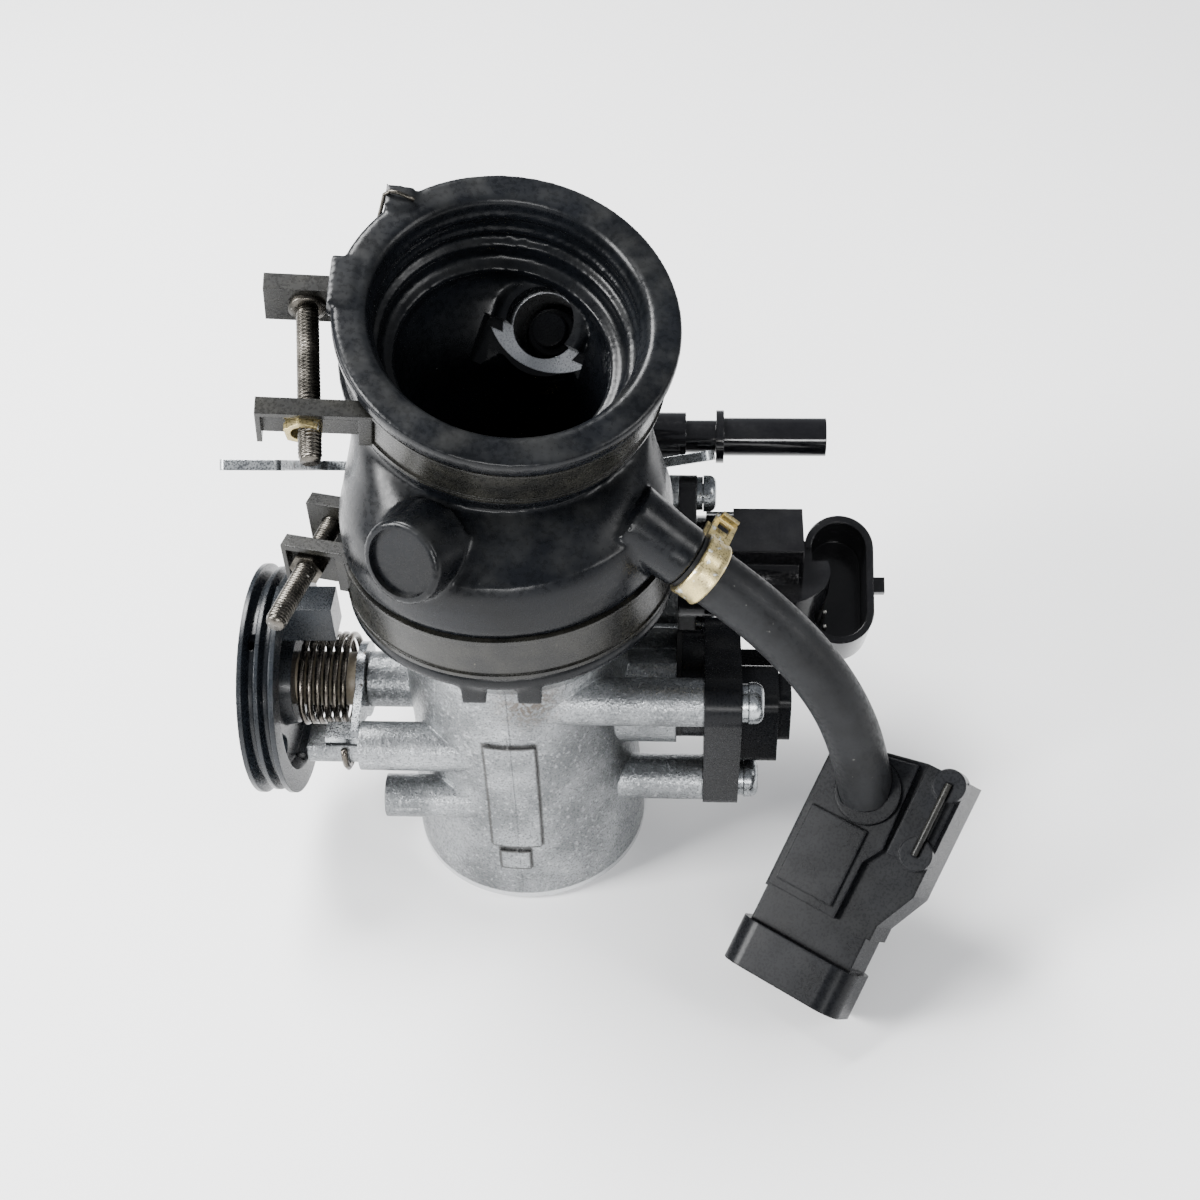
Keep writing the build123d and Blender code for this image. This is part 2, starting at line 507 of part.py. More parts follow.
with BuildPart() as intake_joint:
    loft([ring_at(Plane.XY.offset(83), 30.2), ring_at(Plane.XY.offset(89), 30.0), ring_at(mid_plane, 26.6),
          ring_at(lip_plane.offset(-19), 27.6), ring_at(lip_plane.offset(-13.8), 28.6)])
    with BuildSketch(Plane.XZ) as sleeve:
        with BuildLine():
            Polyline((0, ROOT_Z), (30.4, ROOT_Z), (30.8, 70.4), (30.4, 72.4), (GROOVE_R, 72.6),
                     (GROOVE_R, 82.2), (30.2, 83.0), (0, 83.0), close=True)
        make_face()
    revolve(axis=Axis.Z)
    with BuildSketch(lip_section_plane) as lip_section:
        with BuildLine():
            Polyline((0, -14.2), (28.6, -14.2), (28.6, -13.7), (27.5, -13.7), (27.5, -4.4), (LIP_R - 0.6, -4.2),
                     (LIP_R, -3.0), (LIP_R, -1.0), (LIP_R - 1.0, 0), (0, 0), close=True)
        make_face()
    revolve(axis=Axis(LIP, LIP_AXIS))
    # hanging tabs, hose stub, injector boss, rib and lug beside the lip
    for x in (-4.6, 5.3):
        box_on(Plane.XY, (x - 2.3, x + 2.3), (-30.2, -27.4), (ROOT_Z - 3.6, ROOT_Z + 0.5))
    rod_on(stub_plane, 5.7, -12, 0)
    rod_on(injector_plane, 12.4, 1.0, 17.0)
    box_on(lip_plane, (-30.4, -26.0), (-1.6, 8.6), (-4.2, 0.3))
    box_on(lip_plane, (-22.6, -17.5), (19.0, 24.2), (-4.2, 0.6))
    # blanked recess on the front
    rod_on(recess_plane, 7.6, -2.0, 6.4)
    rod_on(recess_plane, 6.3, 3.4, 12.0, mode=Mode.SUBTRACT)
    # duct
    rod_on(Plane.XY, NECK_R + 0.05, ROOT_Z - 1, NECK_TOP + 0.1, mode=Mode.SUBTRACT)
    loft([ring_at(Plane.XY.offset(NECK_TOP), BORE_R), ring_at(Plane.XY.offset(90), BORE_R),
          ring_at(mid_plane, DUCT_R), ring_at(lip_plane.offset(-18), DUCT_R),
          ring_at(lip_plane.offset(-13), DUCT_R)], mode=Mode.SUBTRACT)
    with BuildSketch(lip_section_plane) as mouth_section:
        with BuildLine():
            Polyline((0, -13.2), (20.6, -13.2), (21.4, -12.4), (21.4, -9.8), (MOUTH_R, -9.0),
                     (MOUTH_R, -1.0), (MOUTH_R + 1.0, 0.1), (0, 0.1), close=True)
        make_face()
    revolve(axis=Axis(LIP, LIP_AXIS), mode=Mode.SUBTRACT)
    add(holder_outside.part, mode=Mode.SUBTRACT)
    rod_on(injector_plane, HOLDER_R, 19.0, 21.0, mode=Mode.SUBTRACT)
    rod_on(injector_plane, NOZZLE_BORE_R + 0.2, -12.0, 0.5, mode=Mode.SUBTRACT)
save(intake_joint, "intake_joint")


# ---- clamps ----
def clamp_band(plane, radius, low, high, ear_gap, ear_reach, screw_x, place):
    """Band with two folded ears on its -x side; ear_gap is the pair of inner ear faces (y)."""
    front, rear = ear_gap
    with BuildPart() as band:
        rod_on(plane, radius + BAND_T, low, high)
        rod_on(plane, radius, low - 1, high + 1, mode=Mode.SUBTRACT)
        # rolled edges
        for edge in (low, high - 0.8):
            rod_on(plane, radius + BAND_T + 0.35, edge, edge + 0.8)
            rod_on(plane, radius, edge - 1, edge + 2, mode=Mode.SUBTRACT)
        box_on(plane, (-radius - 3, -radius * 0.7), (front, rear), (low - 1, high + 1), mode=Mode.SUBTRACT)
        for face, way in ((front, -1), (rear, 1)):
            outer = face + way * 3.2
            root = -(radius ** 2 - face ** 2) ** 0.5 + 0.8
            box_on(plane, (-ear_reach, root), sorted((face, outer)), (low, high))
            inner = sorted((face + way * 1.1, outer + way * 0.2))
            hollow = (-ear_reach + 0.9, root - 2.2)
            box_on(plane, hollow, inner, (low - 0.1, high - 1.1), mode=Mode.SUBTRACT)
        rod_on(plane, radius, low - 1, high + 1, mode=Mode.SUBTRACT)
        hole = Plane(origin=plane.from_local_coords((screw_x, front - 8, (low + high) / 2)), z_dir=plane.y_dir)
        rod_on(hole, 2.1, 0, rear - front + 16, mode=Mode.SUBTRACT)
    save(band, f"{place}_clamp_band")


def clamp_screw(plane, screw_x, middle, front, rear, tip, place):
    """Screw through both ears with its head behind the rear ear, and the nut in the front ear."""
    axis_plane = Plane(origin=plane.from_local_coords((screw_x, 0, middle)), z_dir=plane.y_dir)
    with BuildPart() as screw:
        rod_on(axis_plane, 2.0, tip, rear + 1.2)
        rod_on(axis_plane, 3.3, rear + 1.15, rear + 4.2)
        rod_on(axis_plane, 2.0, rear + 2.6, rear + 5, mode=Mode.SUBTRACT)
        end = screw.faces().sort_by(Axis(axis_plane.origin, axis_plane.z_dir))[0]
        chamfer(end.edges(), 0.5)
    save(screw, f"{place}_clamp_screw")
    with BuildPart() as nut:
        hex_on(axis_plane, 3.3, front - 4.1, front - 1.15)
        rod_on(axis_plane, 2.0, front - 9, front, mode=Mode.SUBTRACT)
    save(nut, f"{place}_clamp_nut")


LOWER_EARS = (-11.8, -2.8)
UPPER_EARS = (-15.3, 6.0)
LOWER_SCREW_X, UPPER_SCREW_X = -34.3, -33.3
lower_plane = spun(Plane.XY, -12.5)
clamp_band(lower_plane, GROOVE_R, *LOWER_BAND, LOWER_EARS, 39.0, LOWER_SCREW_X, "lower")
clamp_screw(lower_plane, LOWER_SCREW_X, sum(LOWER_BAND) / 2, *LOWER_EARS, -30.3, "lower")
upper_plane = spun(lip_plane, 7)
clamp_band(upper_plane, 27.5, *UPPER_BAND, UPPER_EARS, 41.0, UPPER_SCREW_X, "upper")
clamp_screw(upper_plane, UPPER_SCREW_X, sum(UPPER_BAND) / 2, *UPPER_EARS, -22.5, "upper")

# spring clip on the hose end
with BuildPart() as hose_clip:
    rod_on(stub_plane, HOSE_D / 2 + 0.9, 0.8, 5.6)
    box_on(stub_plane, (-1.4, 1.4), (5.0, 9.6), (0.8, 5.6))
    rod_on(stub_plane, HOSE_D / 2 + 0.02, 0, 9, mode=Mode.SUBTRACT)
    box_on(stub_plane, (-0.5, 0.5), (5.6, 11), (0, 9), mode=Mode.SUBTRACT)
save(hose_clip, "hose_clip")

# ---- free hose from the joint to the pressure sensor ----

def bend_radii(points):
    """Tangent arc at each inner point: 0.45 of the shorter run over tan of half the turn."""
    radii = []
    for before, here, after in zip(points, points[1:], points[2:]):
        run_in = here - before
        run_out = after - here
        half_turn = radians(run_in.get_angle(run_out)) / 2
        radii.append(0.45 * min(run_in.length, run_out.length) / tan(half_turn))
    return radii


hose_radii = bend_radii(HOSE_POINTS)
print("hose bend radii", [round(r, 1) for r in hose_radii])
with BuildPart() as sensor_hose:
    with BuildLine() as hose_path:
        hose_route = FilletPolyline(*HOSE_POINTS, radius=hose_radii)
    with BuildSketch(hose_route ^ 0) as hose_section:
        Circle(HOSE_D / 2)
    sweep(hose_section.sketch, path=hose_path.line)
hose_ratio = sensor_hose.part.volume / (pi * HOSE_D ** 2 / 4 * hose_route.length)
print("hose length", round(hose_route.length, 1), "volume ratio", round(hose_ratio, 4))
save(sensor_hose, "sensor_hose")

# ---- pressure sensor on the hose ----
# sensor_plane: local x across the face, local y up the long axis, local z out of the face
FACE_T = 13.5
COVER_T = 2.4
SENSOR_PINS = (-7.5, -2.5, 2.5, 7.5)
EAR_X = 13.4
LOBES = (7.6, -6.6)
with BuildPart() as pressure_sensor_body:
    with BuildSketch(sensor_plane.offset(-FACE_T)) as case_outline:
        with BuildLine():
            Polyline((-10.7, -25), (-10.7, 4.5), (-8.4, 6.6), (7.6, 9.6), (16.2, 9.6), (16.2, -14),
                     (12.4, -22), (12.4, -25), close=True)
        make_face()
    extrude(case_outline.sketch, amount=FACE_T - COVER_T)
    box_on(sensor_plane, (-10.2, 11.6), (-32.4, -25), (-FACE_T + 0.6, -COVER_T))
    rim_plane = Plane(origin=sensor_plane.from_local_coords((0.5, -32, -FACE_T / 2 - 0.6)),
                      x_dir=sensor_plane.x_dir, z_dir=-sensor_plane.y_dir)
    with BuildSketch(rim_plane) as rim_outline:
        RectangleRounded(25.2, 15.0, 4.5)
    extrude(rim_outline.sketch, amount=9)
    with BuildSketch(rim_plane.offset(-5)) as socket_outline:
        RectangleRounded(20.0, 8.4, 2.5)
    extrude(socket_outline.sketch, amount=15, mode=Mode.SUBTRACT)
    # side ear with two round lobes and a slot for the retaining clip
    box_on(sensor_plane, (8.0, 15.6), (-9.0, 9.6), (-3.8, -COVER_T + 0.9))
    for v in LOBES:
        rod_on(Plane(origin=sensor_plane.from_local_coords((EAR_X, v, 0)), z_dir=SENSOR_FACE), 3.2, -4.4, -0.6)
    box_on(sensor_plane, (EAR_X - 0.7, EAR_X + 0.7), (-7.0, 8.0), (-3.0, 0.6), mode=Mode.SUBTRACT)
    # socket for the hose and the chamber behind it
    rod_on(sensor_plane, HOSE_D / 2 + 1.2, -3.0, 0)
    rod_on(hose_end_plane, HOSE_D / 2, 0, 12, mode=Mode.SUBTRACT)
    rod_on(hose_end_plane, 2.2, -5.0, 1.0, mode=Mode.SUBTRACT)
    for u in SENSOR_PINS:
        box_on(rim_plane, (u - 0.8, u + 0.8), (-0.3, 0.3), (-8, 0), mode=Mode.SUBTRACT)
save(pressure_sensor_body, "pressure_sensor_body")

with BuildPart() as sensor_terminals:
    for u in SENSOR_PINS:
        box_on(rim_plane, (u - 0.8, u + 0.8), (-0.3, 0.3), (-8, 1.0))
save(sensor_terminals, "sensor_terminals")

with BuildPart() as sensor_cover:
    with BuildSketch(sensor_plane.offset(-COVER_T)) as cover_outline:
        with BuildLine():
            Polyline((-9.9, -24.4), (-9.9, 4.0), (-7.6, 6.0), (6.6, 8.6), (7.4, -8.6), (5.0, -12.4),
                     (4.8, -24.4), close=True)
        make_face()
    extrude(cover_outline.sketch, amount=COVER_T - 0.8)
    box_on(sensor_plane, (-8.6, 3.4), (-22.6, -7.0), (-0.9, -0.2))
    rod_on(sensor_plane, HOSE_D / 2 + 1.2, -4, 1, mode=Mode.SUBTRACT)
    rod_on(hose_end_plane, HOSE_D / 2, 0, 12, mode=Mode.SUBTRACT)
save(sensor_cover, "sensor_cover")

with BuildPart() as sensor_retaining_pin:
    pin_plane = Plane(origin=sensor_plane.from_local_coords((EAR_X, 0, -0.1)), z_dir=sensor_plane.y_dir)
    rod_on(pin_plane, 0.6, -6.9, 7.9)
save(sensor_retaining_pin, "sensor_retaining_pin")

# ---- injector, its holder and the fuel joint ----
with BuildPart() as injector_holder:
    add(holder_outside.part)
    rod_on(injector_plane, NOZZLE_BORE_R, -1, 12.0, mode=Mode.SUBTRACT)
    rod_on(injector_plane, 7.2, 12.0, 20.0, mode=Mode.SUBTRACT)
    # lug for the fuel joint's bolt, beyond the rubber boss
    box_on(injector_plane, (-20.5, -8.2), (-4.6, 4.6), (17.2, 23.0))
    rod_on(Plane(origin=injector_plane.from_local_coords((-16.4, 0, 0)), z_dir=INJECTOR_AXIS), 2.1, 16, 24,
           mode=Mode.SUBTRACT)
    rod_on(injector_plane, 7.2, 12.0, 24.0, mode=Mode.SUBTRACT)
save(injector_holder, "injector_holder")

with BuildPart() as injector_body:
    rod_on(injector_plane, 3.2, 3.0, 6.0)
    rod_on(injector_plane, 4.4, 6.0, 14.0)
    rod_on(injector_plane, 5.4, 14.0, 16.2)
    rod_on(injector_plane, 4.6, 16.2, 20.0)
    rod_on(injector_plane, 6.9, 20.0, 33.5)
    rod_on(injector_plane, 4.4, 33.5, 44.0)
    # electrical socket on the side
    socket_axis = Plane(origin=injector_plane.from_local_coords((0, 0, 26.5)), x_dir=INJECTOR_AXIS,
                        z_dir=(0, 0.707, 0.707))
    with BuildSketch(socket_axis.offset(4)) as injector_socket:
        RectangleRounded(10.5, 14, 2.4)
    extrude(injector_socket.sketch, amount=16)
    with BuildSketch(socket_axis.offset(11)) as injector_socket_inside:
        RectangleRounded(8.0, 11.5, 1.4)
    extrude(injector_socket_inside.sketch, amount=10, mode=Mode.SUBTRACT)
    for side in (-2.4, 2.4):
        box_on(socket_axis, (-0.35, 0.35), (side - 0.8, side + 0.8), (10.5, 14))
save(injector_body, "injector_body")

with BuildPart() as injector_seals:
    rod_on(injector_plane, 7.2, 16.2, 19.4)
    rod_on(injector_plane, 4.6, 16.0, 20.0, mode=Mode.SUBTRACT)
    rod_on(injector_plane, 6.0, 38.0, 40.6)
    rod_on(injector_plane, 4.4, 37.0, 41.0, mode=Mode.SUBTRACT)
save(injector_seals, "injector_seals")

CAP_PLANE = injector_plane.offset(36)
cap_middle = injector_plane.from_local_coords((0, 0, 42))
elbow_x = cap_middle.X
with BuildPart() as fuel_joint:
    rod_on(CAP_PLANE, 8.6, 0, 13.5)
    with Locations(CAP_PLANE.offset(13.5)):
        Cylinder(6.4, 2.0, align=(Align.CENTER, Align.CENTER, Align.MIN))
    rod_x(PIPE_Y, PIPE_Z, 5.0, elbow_x - 5, 32.2)
    rod_x(PIPE_Y, PIPE_Z, 3.4, 32.0, 38.6)
    rod_x(PIPE_Y, PIPE_Z, 5.5, 38.4, 40.0)
    rod_x(PIPE_Y, PIPE_Z, PIPE_R, 39.9, 61.0)
    arm = Plane(origin=(elbow_x, PIPE_Y, PIPE_Z), z_dir=cap_middle - Vector(elbow_x, PIPE_Y, PIPE_Z))
    rod_on(arm, 5.0, 0, (cap_middle - Vector(elbow_x, PIPE_Y, PIPE_Z)).length)
    box_on(CAP_PLANE, (-20.0, -6.0), (-4.6, 4.6), (0, 4.0))
    # seat for the injector's tail, bolt hole and fuel passage
    rod_on(CAP_PLANE, 6.0, -1, 8.0, mode=Mode.SUBTRACT)
    rod_on(Plane(origin=CAP_PLANE.from_local_coords((-16.4, 0, 0)), z_dir=INJECTOR_AXIS), 2.2, -1, 5,
           mode=Mode.SUBTRACT)
    rod_x(PIPE_Y, PIPE_Z, 2.2, elbow_x, 62, mode=Mode.SUBTRACT)
save(fuel_joint, "fuel_joint")

bolt_foot = Plane(origin=CAP_PLANE.from_local_coords((-16.4, 0, 4.0)), x_dir=CAP_PLANE.x_dir,
                  z_dir=INJECTOR_AXIS)
with BuildPart() as fuel_joint_bolt:
    rod_on(bolt_foot, 2.0, -19.0, 0.5)
    rod_on(bolt_foot, 4.6, 0, 0.9)
    hex_on(bolt_foot, 4.5, 0.8, 4.4)
save(fuel_joint_bolt, "fuel_joint_bolt")

with BuildPart() as fuel_joint_spacer:
    rod_on(bolt_foot, 3.8, -17.0, -4.0)
    rod_on(bolt_foot, 2.0, -18.0, -3.0, mode=Mode.SUBTRACT)
save(fuel_joint_spacer, "fuel_joint_spacer")

# ---- cable stay: plated plate across the back, with two cable adjuster holes ----
STAY_HOLE_R = 3.1
STAY_HOLES = [(-48.0, -37.9), (-48.0, 4.4)]
with BuildPart() as cable_stay:
    with BuildSketch(stay_plane.offset(-STAY_T / 2)) as stay_outline:
        with BuildLine():
            Polyline((-54.0, -43.0), (-42.4, -43.0), (-41.4, -10.0), (-22.0, -13.0), (-11.0, -13.0),
                     (-9.0, -6.0), (9.0, -6.0), (11.0, -13.0), (23.6, -13.0), (23.6, 8.0),
                     (-34.0, 10.0), (-54.0, 10.0), close=True)
        make_face()
        fillet(stay_outline.vertices(), 1.2)
        with Locations(*STAY_HOLES):
            Circle(STAY_HOLE_R, mode=Mode.SUBTRACT)
        with Locations(*[(x, STAY_SCREW_V) for x in STAY_SCREWS]):
            Circle(2.2, mode=Mode.SUBTRACT)
    extrude(amount=STAY_T)
    bent_tab = stay_plane.shift_origin(stay_plane.from_local_coords((22.6, 0, 0))).rotated((0, -12, 0))
    with BuildSketch(bent_tab.offset(-STAY_T / 2)) as tab_outline:
        with Locations((8.0, -9.0)):
            RectangleRounded(17.6, 7.6, 2.0)
    extrude(tab_outline.sketch, amount=STAY_T)
save(cable_stay, "cable_stay")

stay_screws = []
for x in STAY_SCREWS:
    seat = Plane(origin=stay_plane.from_local_coords((x, STAY_SCREW_V, STAY_T / 2)), x_dir=(1, 0, 0),
                 z_dir=STAY_NORMAL)
    stay_screws.append(pan_screw(seat, 12, head_r=3.8, head_t=2.4, washer_t=0.9))
save_group(stay_screws, "cable_stay_screws")
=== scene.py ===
import json
import math

import bmesh
import bpy
from mathutils import Matrix, Vector


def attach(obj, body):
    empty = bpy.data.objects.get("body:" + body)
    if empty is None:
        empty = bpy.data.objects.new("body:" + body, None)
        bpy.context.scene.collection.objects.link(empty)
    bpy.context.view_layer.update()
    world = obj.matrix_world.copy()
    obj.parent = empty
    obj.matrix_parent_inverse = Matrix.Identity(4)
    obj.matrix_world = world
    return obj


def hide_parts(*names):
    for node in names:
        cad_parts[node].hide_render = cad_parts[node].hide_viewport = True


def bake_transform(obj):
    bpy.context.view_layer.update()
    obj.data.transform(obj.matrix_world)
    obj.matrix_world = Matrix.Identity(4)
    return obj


MM = 0.001

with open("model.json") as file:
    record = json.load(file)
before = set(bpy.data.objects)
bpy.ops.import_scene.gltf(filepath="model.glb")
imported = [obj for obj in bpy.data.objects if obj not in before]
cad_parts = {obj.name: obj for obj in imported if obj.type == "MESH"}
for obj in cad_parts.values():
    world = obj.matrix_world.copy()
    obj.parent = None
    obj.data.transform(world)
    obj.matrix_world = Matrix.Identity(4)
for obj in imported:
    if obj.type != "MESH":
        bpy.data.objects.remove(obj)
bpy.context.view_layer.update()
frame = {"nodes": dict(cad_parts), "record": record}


def mm(x, y, z):
    """Point in metres from millimetres in the part's own frame."""
    return Vector((x, y, z)) * MM


# ---- camera, floor and light ----
camera_data = bpy.data.cameras.new("camera")
camera_data.lens = 51.06
camera_data.sensor_width = 36.0
camera = bpy.data.objects.new("camera", camera_data)
bpy.context.scene.collection.objects.link(camera)
view_right = Vector((0.9984, 0.0478, -0.0309))
view_up = Vector((-0.0106, 0.6891, 0.7246))
view_back = Vector((0.0559, -0.7231, 0.6885))
camera_turn = Matrix((view_right, view_up, view_back)).transposed().to_4x4()
CAMERA_AT = mm(34.5, -235.1, 286.8)
camera.matrix_world = Matrix.Translation(CAMERA_AT) @ camera_turn
bpy.context.scene.camera = camera

FLOOR_HALF, FLOOR_Z = 3.0, -0.2 * MM
CORNERS = ((-1, -1), (1, -1), (1, 1), (-1, 1))
floor_mesh = bpy.data.meshes.new("floor")
floor_mesh.from_pydata([(x * FLOOR_HALF, y * FLOOR_HALF, FLOOR_Z) for x, y in CORNERS], [], [(0, 1, 2, 3)])
floor = bpy.data.objects.new("floor", floor_mesh)
bpy.context.scene.collection.objects.link(floor)


def area_light(name, place, aim, size, power, colour=(1, 1, 1)):
    data = bpy.data.lights.new(name, "AREA")
    data.shape = "RECTANGLE"
    data.size, data.size_y = size
    data.energy = power
    data.color = colour
    light = bpy.data.objects.new(name, data)
    light.location = place
    light.rotation_euler = (Vector(aim) - Vector(place)).to_track_quat("-Z", "Y").to_euler()
    bpy.context.scene.collection.objects.link(light)


AIM = (0.0, 0.0, 0.06)
area_light("softbox_top", (-0.30, 0.28, 0.75), AIM, (0.40, 0.30), 17.0)
area_light("softbox_left", (-0.75, -0.30, 0.5), AIM, (0.30, 0.45), 19.0)
area_light("softbox_right", (0.75, -0.20, 0.5), AIM, (0.25, 0.45), 3.5)
area_light("softbox_front", (0.05, -0.80, 0.35), AIM, (0.45, 0.12), 5.0)
world = bpy.data.worlds.new("studio")
world.use_nodes = True
world.node_tree.nodes["Background"].inputs["Color"].default_value = (0.9, 0.93, 1.0, 1)
world.node_tree.nodes["Background"].inputs["Strength"].default_value = 0.42
bpy.context.scene.world = world


# ---- materials ----
class Shader:
    """One procedural material; lengths are given in millimetres on the object."""

    def __init__(self, name):
        self.material = bpy.data.materials.new(name)
        self.material.use_nodes = True
        self.tree = self.material.node_tree
        self.surface = self.tree.nodes["Principled BSDF"]
        self.place = self.add("ShaderNodeTexCoord").outputs["Object"]

    def add(self, kind, **settings):
        node = self.tree.nodes.new(kind)
        for key, value in settings.items():
            setattr(node, key, value)
        return node

    def feed(self, socket, value):
        if isinstance(value, bpy.types.NodeSocket):
            self.tree.links.new(value, socket)
        elif isinstance(value, tuple) and len(value) == 3 and socket.type == "RGBA":
            socket.default_value = (*value, 1)
        else:
            socket.default_value = value

    def math(self, operation, first, second=0.0, clamp=False):
        node = self.add("ShaderNodeMath", operation=operation, use_clamp=clamp)
        self.feed(node.inputs[0], first)
        self.feed(node.inputs[1], second)
        return node.outputs[0]

    def noise(self, size_mm, detail=3.0, stretch=(1, 1, 1), shift=0.0):
        mapping = self.add("ShaderNodeMapping")
        mapping.inputs["Scale"].default_value = stretch
        mapping.inputs["Location"].default_value = (shift, shift, shift)
        self.feed(mapping.inputs["Vector"], self.place)
        node = self.add("ShaderNodeTexNoise")
        node.inputs["Scale"].default_value = 1.0 / (size_mm * MM)
        node.inputs["Detail"].default_value = detail
        self.feed(node.inputs["Vector"], mapping.outputs[0])
        return node.outputs["Fac"]

    def spread(self, value, low, high, to_low=0.0, to_high=1.0):
        node = self.add("ShaderNodeMapRange", interpolation_type="SMOOTHSTEP")
        self.feed(node.inputs["Value"], value)
        for key, number in (("From Min", low), ("From Max", high), ("To Min", to_low), ("To Max", to_high)):
            node.inputs[key].default_value = number
        return node.outputs["Result"]

    def mix(self, factor, first, second):
        node = self.add("ShaderNodeMix", data_type="RGBA")
        self.feed(node.inputs["Factor"], factor)
        self.feed(node.inputs["A"], first)
        self.feed(node.inputs["B"], second)
        return node.outputs["Result"]

    def facing_up(self):
        """0 on walls, 1 on level tops."""
        normal = self.add("ShaderNodeNewGeometry").outputs["Normal"]
        parts = self.add("ShaderNodeSeparateXYZ")
        self.feed(parts.inputs[0], normal)
        return self.spread(parts.outputs["Z"], 0.1, 0.95)

    def axes(self):
        parts = self.add("ShaderNodeSeparateXYZ")
        self.feed(parts.inputs[0], self.place)
        return parts.outputs

    def bump(self, height, depth_mm, edge_mm=0.0):
        node = self.add("ShaderNodeBump")
        node.inputs["Distance"].default_value = depth_mm * MM
        self.feed(node.inputs["Height"], height)
        if edge_mm:
            bevel = self.add("ShaderNodeBevel", samples=4)
            bevel.inputs["Radius"].default_value = edge_mm * MM
            self.feed(node.inputs["Normal"], bevel.outputs[0])
        self.feed(self.surface.inputs["Normal"], node.outputs[0])


def finish(name, light, dark, rough, metallic=0.0, mottle=9.0, grain=0.45, depth=0.03, edge=0.25,
           speck=None, dust=None, brush=None, coat=0.0, shine=0.5):
    """Colour varies between light and dark; speck and dust are (colour, amount)."""
    s = Shader(name)
    blotch = s.noise(mottle, 4.0)
    fine = s.noise(grain, 3.0, stretch=brush or (1, 1, 1), shift=1.7)
    colour = s.mix(s.spread(blotch, 0.32, 0.68), dark, light)
    colour = s.mix(s.spread(fine, 0.38, 0.52, 0.35, 0.0), colour, tuple(c * 0.5 for c in dark))
    if speck:
        spots = s.spread(s.noise(1.6, 2.0, shift=4.1), 0.74 - speck[1], 0.80 - speck[1])
        colour = s.mix(spots, colour, speck[0])
    roughness = s.spread(fine, 0.3, 0.7, rough[0], rough[1])
    if dust:
        cover = s.math("MULTIPLY", s.facing_up(), s.spread(s.noise(5.0, 6.0, shift=7.3), 0.35, 0.75))
        film = s.math("MULTIPLY", cover, dust[1], clamp=True)
        colour = s.mix(film, colour, dust[0])
        roughness = s.math("ADD", roughness, s.math("MULTIPLY", film, 0.35), clamp=True)
    s.feed(s.surface.inputs["Base Color"], colour)
    s.feed(s.surface.inputs["Roughness"], roughness)
    s.surface.inputs["Metallic"].default_value = metallic
    s.surface.inputs["Coat Weight"].default_value = coat
    s.surface.inputs["Specular IOR Level"].default_value = shine
    s.bump(fine, depth, edge)
    return s


# middle and radius of the painted shade under the rubber, in metres
RUBBER_SHADE_AT, RUBBER_SHADE_R = mm(4.0, -22.3, 57.0), 9.5 * MM
# the data pad and its tab: middle and size along x and z, in millimetres
PAD_OUTLINES = (((-0.5, 31.3), (10.2, 28.3)), ((-1.0, 13.4), (6.2, 5.0)))


def casting():
    """As-cast aluminium: painted glints as bright flecks on the skin, darker pores, machined ring at the
    inlet.
    """
    s = Shader("cast_aluminium")
    x, y, z = s.axes()
    blotch = s.noise(11.0, 5.0)
    coarse = s.noise(0.9, 4.0, shift=2.2)
    fine = s.noise(0.42, 3.0, shift=5.0)
    colour = s.mix(s.spread(blotch, 0.3, 0.7), (0.14, 0.147, 0.151), (0.31, 0.322, 0.33))
    colour = s.mix(s.spread(fine, 0.36, 0.5, 0.55, 0.0), colour, (0.07, 0.073, 0.076))
    # bright flecks: painted glints on the cast skin
    colour = s.mix(s.spread(coarse, 0.54, 0.70, 0.0, 0.4), colour, (0.55, 0.56, 0.57))
    # painted shade under the rubber, on the front, tinted brown and broken up by the coarse noise
    near = s.add("ShaderNodeVectorMath", operation="DISTANCE")
    s.feed(near.inputs[0], s.place)
    near.inputs[1].default_value = RUBBER_SHADE_AT
    rubber_shade = s.spread(near.outputs["Value"], RUBBER_SHADE_R, 1.0 * MM)
    rubber_shade = s.math("MULTIPLY", rubber_shade, s.spread(coarse, 0.38, 0.6))
    colour = s.mix(s.math("MULTIPLY", rubber_shade, 0.8), colour, (0.07, 0.05, 0.033))
    # painted shade in the crease round the raised data pad and its tab, on the front
    front = s.spread(y, -0.0155, -0.0175)
    for middle, size in PAD_OUTLINES:
        sides = []
        for axis, centre, length in zip((x, z), middle, size):
            offset = s.math("ABSOLUTE", s.math("SUBTRACT", axis, centre * MM))
            sides.append(s.math("SUBTRACT", offset, length / 2 * MM))
        gap = s.math("ABSOLUTE", s.math("MAXIMUM", *sides))
        pad_edge_shade = s.math("MULTIPLY", s.spread(gap, 0.55 * MM, 0.15 * MM), front)
        colour = s.mix(s.math("MULTIPLY", pad_edge_shade, 0.8), colour, (0.05, 0.048, 0.045))
    machined = s.spread(z, 2.6 * MM, 2.2 * MM)
    colour = s.mix(machined, colour, (0.62, 0.63, 0.64))
    s.feed(s.surface.inputs["Base Color"], colour)
    s.surface.inputs["Metallic"].default_value = 0.9
    rough = s.spread(fine, 0.3, 0.7, 0.48, 0.26)
    s.feed(s.surface.inputs["Roughness"], s.math("SUBTRACT", rough, s.math("MULTIPLY", machined, 0.2)))
    # parting line down the front
    line = s.math("MULTIPLY", s.spread(s.math("ABSOLUTE", s.math("ADD", x, 0.0004)), 0.00045, 0.0001),
                  s.spread(y, -0.018, -0.021))
    height = s.math("ADD", s.math("MULTIPLY", fine, 0.6), s.math("MULTIPLY", coarse, 0.9))
    height = s.math("ADD", s.math("MULTIPLY", height, s.math("SUBTRACT", 1.0, machined)), line)
    s.bump(height, 0.16, 0.5)
    return s.material


